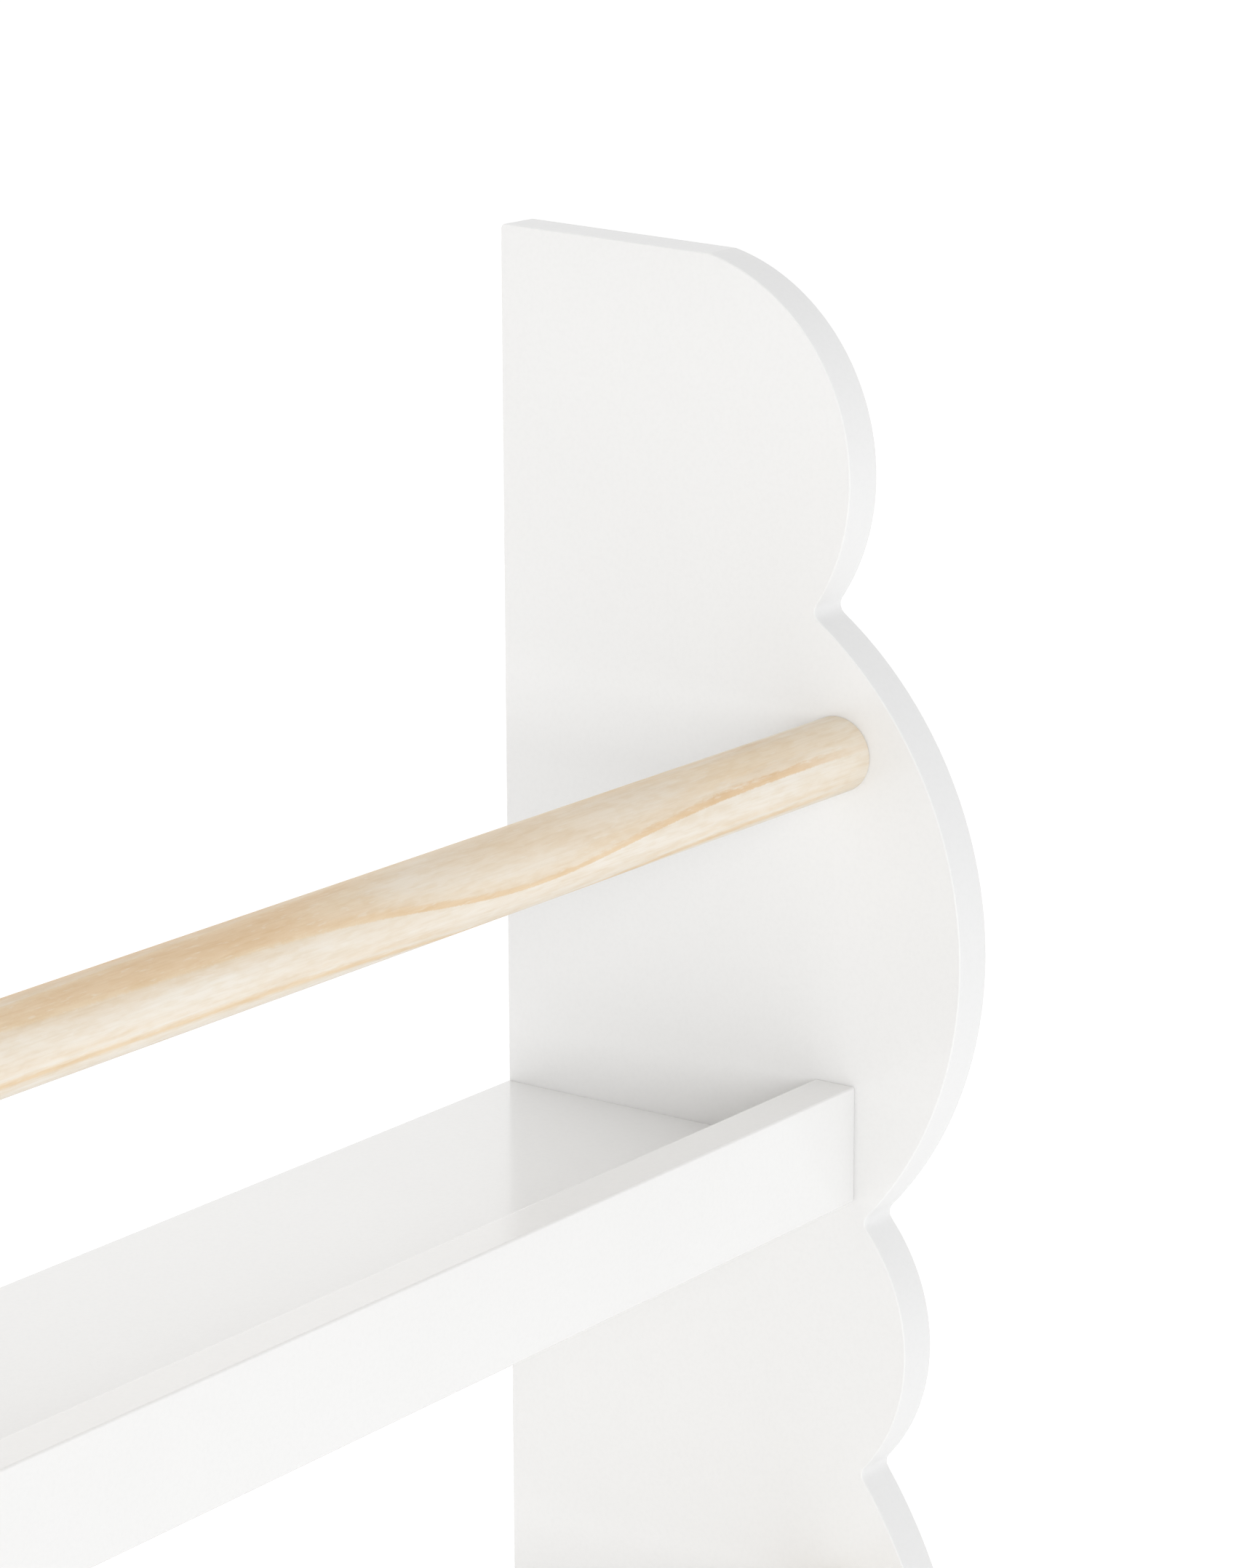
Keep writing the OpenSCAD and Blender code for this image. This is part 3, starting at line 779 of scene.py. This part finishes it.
def shelf_holes(tier):
    """Every hole of one shelf board."""
    low, high = SHELF_LOW[tier], SHELF_HIGH[tier]
    holes = []
    for sign in (-1, 1):
        end, inward = sign * high.x, (-sign, 0, 0)
        for y, z in shelf_screw_spots(tier):
            holes.append(blind_hole((end, y, z), inward, SHELF_SCREW_L - BOARD_T, SHELF_SCREW_R))
        y, z = shelf_dowel_spot(tier)
        holes.append(blind_hole((end, y, z), inward, SHELF_DOWEL_IN_SHELF, SHELF_DOWEL_R))
        for y in BRACKET_SCREW_YS:
            mouth = (sign * (high.x - BRACKET_INSET), y, low.z)
            holes.append(blind_hole(mouth, (0, 0, 1), BRACKET_SCREW_GRIP, BRACKET_SCREW_R))
    middle = (low.z + high.z) / 2
    for x in lip_dowel_xs():
        holes.append(blind_hole((x, low.y, middle), (0, 1, 0), LIP_DOWEL_LONG, LIP_DOWEL_R))
    return holes


def lip_holes(tier):
    """Every hole of one lip."""
    high = LIP_HIGH[tier]
    holes = []
    y, z = lip_end_spot(tier)
    for sign in (-1, 1):
        holes.append(blind_hole((sign * high.x, y, z), (-sign, 0, 0), LIP_DOWEL_LONG, LIP_DOWEL_R))
    middle = (SHELF_LOW[tier].z + SHELF_HIGH[tier].z) / 2
    for x in lip_dowel_xs():
        holes.append(blind_hole((x, high.y, middle), (0, -1, 0), LIP_DOWEL_SHORT, LIP_DOWEL_R))
    return holes


def bar_holes(tier):
    """The screw hole in each end of one bar."""
    end = BAR_HIGH[tier].x
    depth = BAR_SCREW_L - BOARD_T
    return [
        blind_hole((sign * end, *bar_spot(tier)), (-sign, 0, 0), depth, BAR_SCREW_R)
        for sign in (-1, 1)
    ]


def bar_profile(length, radius, ease):
    """A round bar with eased ends, as (distance along, radius) pairs."""
    return [(travel, radius - inset) for inset, travel in ease_profile(length, ease)]


# Seeds of the painted boards' noises
PANEL_SEED = 3.1
SHELF_SEED = 7.7
LIP_SEED = 12.4

# Each bar's seed, how far from its axis the first ring starts, away from the pith, and its knot's
# place along x
PINE = {
    "upper": {"seed": 2.3, "first_ring": -10.7 * MM, "knot_x": 113 * MM},
    "lower": {"seed": 7.4, "first_ring": -7.7 * MM, "knot_x": -77 * MM},
}


def build_panels():
    """Both side panels."""
    for side, sign in zip(SIDES, (-1, 1)):
        x_low = PANEL_LOW.x if sign > 0 else -PANEL_HIGH.x
        panel = panel_mesh(x_low, f"painted_side_{side}")
        drill(panel, panel_holes(sign))
        soften(panel)
        look = white_paint(f"white_paint_side_{side}", PANEL_SEED + sign, PANEL_SHEEN, ROUTED_TONE)
        dress(panel, look, "white_paint", f"side_panel_{side}")


def build_shelves():
    """The shelf boards and their lips."""
    for k, tier in enumerate(TIERS):
        board = board_mesh(SHELF_LOW[tier], SHELF_HIGH[tier], f"painted_shelf_{tier}", SHELF_EASED)
        drill(board, shelf_holes(tier))
        soften(board)
        look = white_paint(f"white_paint_shelf_{tier}", SHELF_SEED + k, BOARD_SHEEN)
        dress(board, look, "white_paint", f"shelf_board_{tier}")
        lip = board_mesh(LIP_LOW[tier], LIP_HIGH[tier], f"painted_lip_{tier}", LIP_EASED)
        drill(lip, lip_holes(tier))
        soften(lip)
        look = white_paint(f"white_paint_lip_{tier}", LIP_SEED + k, BOARD_SHEEN)
        dress(lip, look, "white_paint", f"front_lip_{tier}")


def build_bars():
    """The pine bars."""
    for tier in TIERS:
        low, high = BAR_LOW[tier], BAR_HIGH[tier]
        middle = (low + high) / 2
        profile = bar_profile(high.x - low.x, (high.z - low.z) / 2, BAR_EASED)
        rings = turned_rings(profile, (low.x, middle.y, middle.z), (1, 0, 0), BAR_SIDES)
        bar = loft(rings, f"turned_bar_{tier}")
        drill(bar, bar_holes(tier))
        soften(bar)
        dress(bar, pine_material(f"pine_{tier}", middle, **PINE[tier]), "pine", f"pine_bar_{tier}")


# The screws' cover caps; lengths along the axis start at the panel's face
CAP_R = 6.5 * MM
CAP_H = 1.4 * MM
CAP_RIM = 0.45 * MM
CAP_LIP_R = 0.25 * MM
CAP_PEG_R = 1.5 * MM
CAP_PEG_L = 2 * MM
CAP_PEG_TAPER = 0.3 * MM
CAP_LIP_CUT = 0.3
CAP_FULLNESS = 0.8
CAP_TIP = 0.02
CAP_STEPS = 14


def cap_profile():
    """A low domed cover cap with a peg, as (distance along, radius) pairs from the peg's end."""
    profile = [
        (-CAP_PEG_L, CAP_PEG_R - CAP_PEG_TAPER),
        (-CAP_PEG_L + CAP_PEG_TAPER, CAP_PEG_R),
        (0, CAP_PEG_R),
        (0, CAP_R - CAP_LIP_R),
        (CAP_LIP_R * CAP_LIP_CUT, CAP_R - CAP_LIP_R * CAP_LIP_CUT),
        (CAP_LIP_R, CAP_R),
        (CAP_RIM, CAP_R),
    ]
    for i in range(1, CAP_STEPS):
        a = math.pi / 2 * i / CAP_STEPS
        rise = math.sin(a) ** CAP_FULLNESS
        profile.append((CAP_RIM + (CAP_H - CAP_RIM) * rise, CAP_R * math.cos(a)))
    profile.append((CAP_H, CAP_R * CAP_TIP))
    return profile


def build_caps():
    """The cover caps, one piece a side."""
    for side, sign in zip(SIDES, (-1, 1)):
        bm = bmesh.new()
        for tier in TIERS:
            for y, z in shelf_screw_spots(tier) + [bar_spot(tier)]:
                spot = (sign * PANEL_HIGH.x, y, z)
                add_loft(bm, turned_rings(cap_profile(), spot, (sign, 0, 0), CAP_SIDES))
        caps = object_from(bm, f"domed_caps_{side}")
        soften(caps)
        dress(caps, cap_plastic(f"white_plastic_{side}"), "white_plastic", f"screw_caps_{side}")


# The brackets' edges
STEEL_EASED = 0.25 * MM
STEEL_EASE_STEPS = 2
STEEL_EDGE_DEGREES = 35


def ease_steel(obj):
    """Rounds the edges of a CAD node a little, with modifiers only."""
    bevel = obj.modifiers.new("eased_edges", "BEVEL")
    bevel.width = STEEL_EASED
    bevel.segments = STEEL_EASE_STEPS
    bevel.limit_method = "ANGLE"
    bevel.angle_limit = math.radians(STEEL_EDGE_DEGREES)
    weighted = obj.modifiers.new("weighted_normals", "WEIGHTED_NORMAL")
    weighted.keep_sharp = True


def dress_nodes():
    """Materials for the CAD nodes that stay: fasteners, dowels and brackets."""
    looks = {"zinc_steel": zinc_steel("zinc_steel"), "beech": beech("beech_dowel")}
    slots = {s["node"]: s["material_slot"] for s in frame["record"]["subparts"]}
    for name, obj in frame["nodes"].items():
        if obj.hide_render:
            continue
        obj.data.materials.clear()
        obj.data.materials.append(looks[slots[name]])
        if name.startswith("wall_bracket"):
            ease_steel(obj)


# The camera, found from the photograph with the part's sizes held; its angles are in degrees
CAMERA_AT = Vector((-0.95939, -0.957327, 0.676218))
CAMERA_AZIMUTH = 53.8158
CAMERA_DOWN = 14.2468
CAMERA_ROLL = 0.2219
FOCAL_PIXELS = 6830.83
LONG_SIDE_PIXELS = 2156
SENSOR = 36
CLIP_NEAR = 0.05
CLIP_FAR = 50


def build_camera():
    """The camera at the photograph's angle; the roll turns it about its own axis."""
    a, e, r = (math.radians(v) for v in (CAMERA_AZIMUTH, CAMERA_DOWN, CAMERA_ROLL))
    forward = Vector((math.sin(a) * math.cos(e), math.cos(a) * math.cos(e), -math.sin(e)))
    level = Vector((math.cos(a), -math.sin(a), 0))
    down = forward.cross(level)
    right = level * math.cos(r) + down * math.sin(r)
    down = forward.cross(right)
    camera = bpy.data.objects.new("camera", bpy.data.cameras.new("camera"))
    bpy.context.scene.collection.objects.link(camera)
    camera.matrix_world = Matrix((
        (right.x, -down.x, -forward.x, CAMERA_AT.x),
        (right.y, -down.y, -forward.y, CAMERA_AT.y),
        (right.z, -down.z, -forward.z, CAMERA_AT.z),
        (0, 0, 0, 1),
    ))
    camera.data.sensor_width = SENSOR
    camera.data.lens = FOCAL_PIXELS / LONG_SIDE_PIXELS * SENSOR
    camera.data.clip_start = CLIP_NEAR
    camera.data.clip_end = CLIP_FAR
    bpy.context.scene.camera = camera


# The surroundings' light: an even level, and lobes of (direction, narrowness, strength)
AROUND_LIGHT = 0.70
BACK_LIGHT = ((0.0, 1.0, 0.1), 1.5, 0.83)
BACKDROP_GLOW = ((0.8, 0.6, 0.2), 8.0, 0.30)
LEFT_SHADE = ((-1.0, 0.0, 0.0), 1.0, -0.37)
TOP_FRONT_LIGHT = ((0.0, -0.6, 0.8), 3.0, 0.17)
TO_THE_LEFT = (-1, 0, 0)
LEFT_TINT = (1.0, 0.981, 0.958)

# The key light, in front on the left
KEY_AT = Vector((-5.30, -4.53, 1.63))
KEY_AIM = Vector((0, -0.05, 0.1))
KEY_SIZE = 2.52
KEY_POWER = 198.0
KEY_COLOUR = (0.965, 0.983, 1.0)

# The floor: its half width, and how far it lies below the shelf
FLOOR_REACH = 12
FLOOR_SQUARES = 8
FLOOR_BELOW = 0.5 * MM
FLOOR_TONES = [(0.3, (0.89, 0.89, 0.89)), (0.7, (0.91, 0.91, 0.91))]
FLOOR_CELLS = 1.5
FLOOR_ROUGHNESS = 0.9
FLOOR_SPECULAR = 0.1
FLOOR_GLOW = 0.26


def build_world():
    """Soft light from all round, brighter behind the shelf and dimmer and warmer on its left."""
    world = bpy.data.worlds.new("studio")
    bpy.context.scene.world = world
    world.use_nodes = True
    g = Graph(world.node_tree)
    background = g.tree.nodes["Background"]
    direction = g.add("ShaderNodeTexCoord").outputs["Generated"]

    def lobe(towards, narrowness):
        """1 in one direction, falling to 0 at right angles to it."""
        dot = g.add("ShaderNodeVectorMath", operation="DOT_PRODUCT")
        g.feed(direction, dot.inputs[0])
        g.feed(Vector(towards).normalized(), dot.inputs[1])
        return g.math("POWER", g.math("MAXIMUM", dot.outputs["Value"], 0.0), narrowness)

    level = AROUND_LIGHT
    for towards, narrowness, strength in (BACK_LIGHT, BACKDROP_GLOW, LEFT_SHADE, TOP_FRONT_LIGHT):
        level = g.plus(level, g.times(lobe(towards, narrowness), strength))
    g.feed(level, background.inputs["Strength"])
    tint = g.ramp(lobe(TO_THE_LEFT, 1.0), [(0.0, WHITE), (1.0, LEFT_TINT)], interpolation="LINEAR")
    g.feed(tint, background.inputs["Color"])


def build_key_light():
    """A large soft light, kept out of mirror reflections."""
    light = bpy.data.lights.new("key_front_left", "AREA")
    light.size = KEY_SIZE
    light.energy = KEY_POWER
    light.color = KEY_COLOUR
    obj = bpy.data.objects.new("key_front_left", light)
    bpy.context.scene.collection.objects.link(obj)
    obj.location = KEY_AT
    obj.rotation_euler = (KEY_AIM - KEY_AT).to_track_quat("-Z", "Y").to_euler()
    obj.visible_glossy = False


def build_floor():
    """A pale floor that glows a little, so that it is as white as the photo's background."""
    bm = bmesh.new()
    bmesh.ops.create_grid(bm, x_segments=FLOOR_SQUARES, y_segments=FLOOR_SQUARES, size=FLOOR_REACH)
    bmesh.ops.translate(bm, vec=(0, 0, CAD_LOW.z - FLOOR_BELOW), verts=bm.verts)
    floor = object_from(bm, "studio_floor")
    g = MaterialGraph("studio_floor")
    g.shade("Base Color", g.ramp(g.noise(g.coordinates(), FLOOR_CELLS), FLOOR_TONES))
    g.shade("Roughness", FLOOR_ROUGHNESS)
    g.shade("Specular IOR Level", FLOOR_SPECULAR)
    g.shade("Emission Color", (*WHITE, 1))
    g.shade("Emission Strength", FLOOR_GLOW)
    floor.data.materials.append(g.material)


def build_studio():
    """Light and floor."""
    bpy.context.scene.view_settings.view_transform = "Standard"
    build_world()
    build_floor()
    build_key_light()


build_panels()
build_shelves()
build_bars()
build_caps()
dress_nodes()
build_camera()
build_studio()
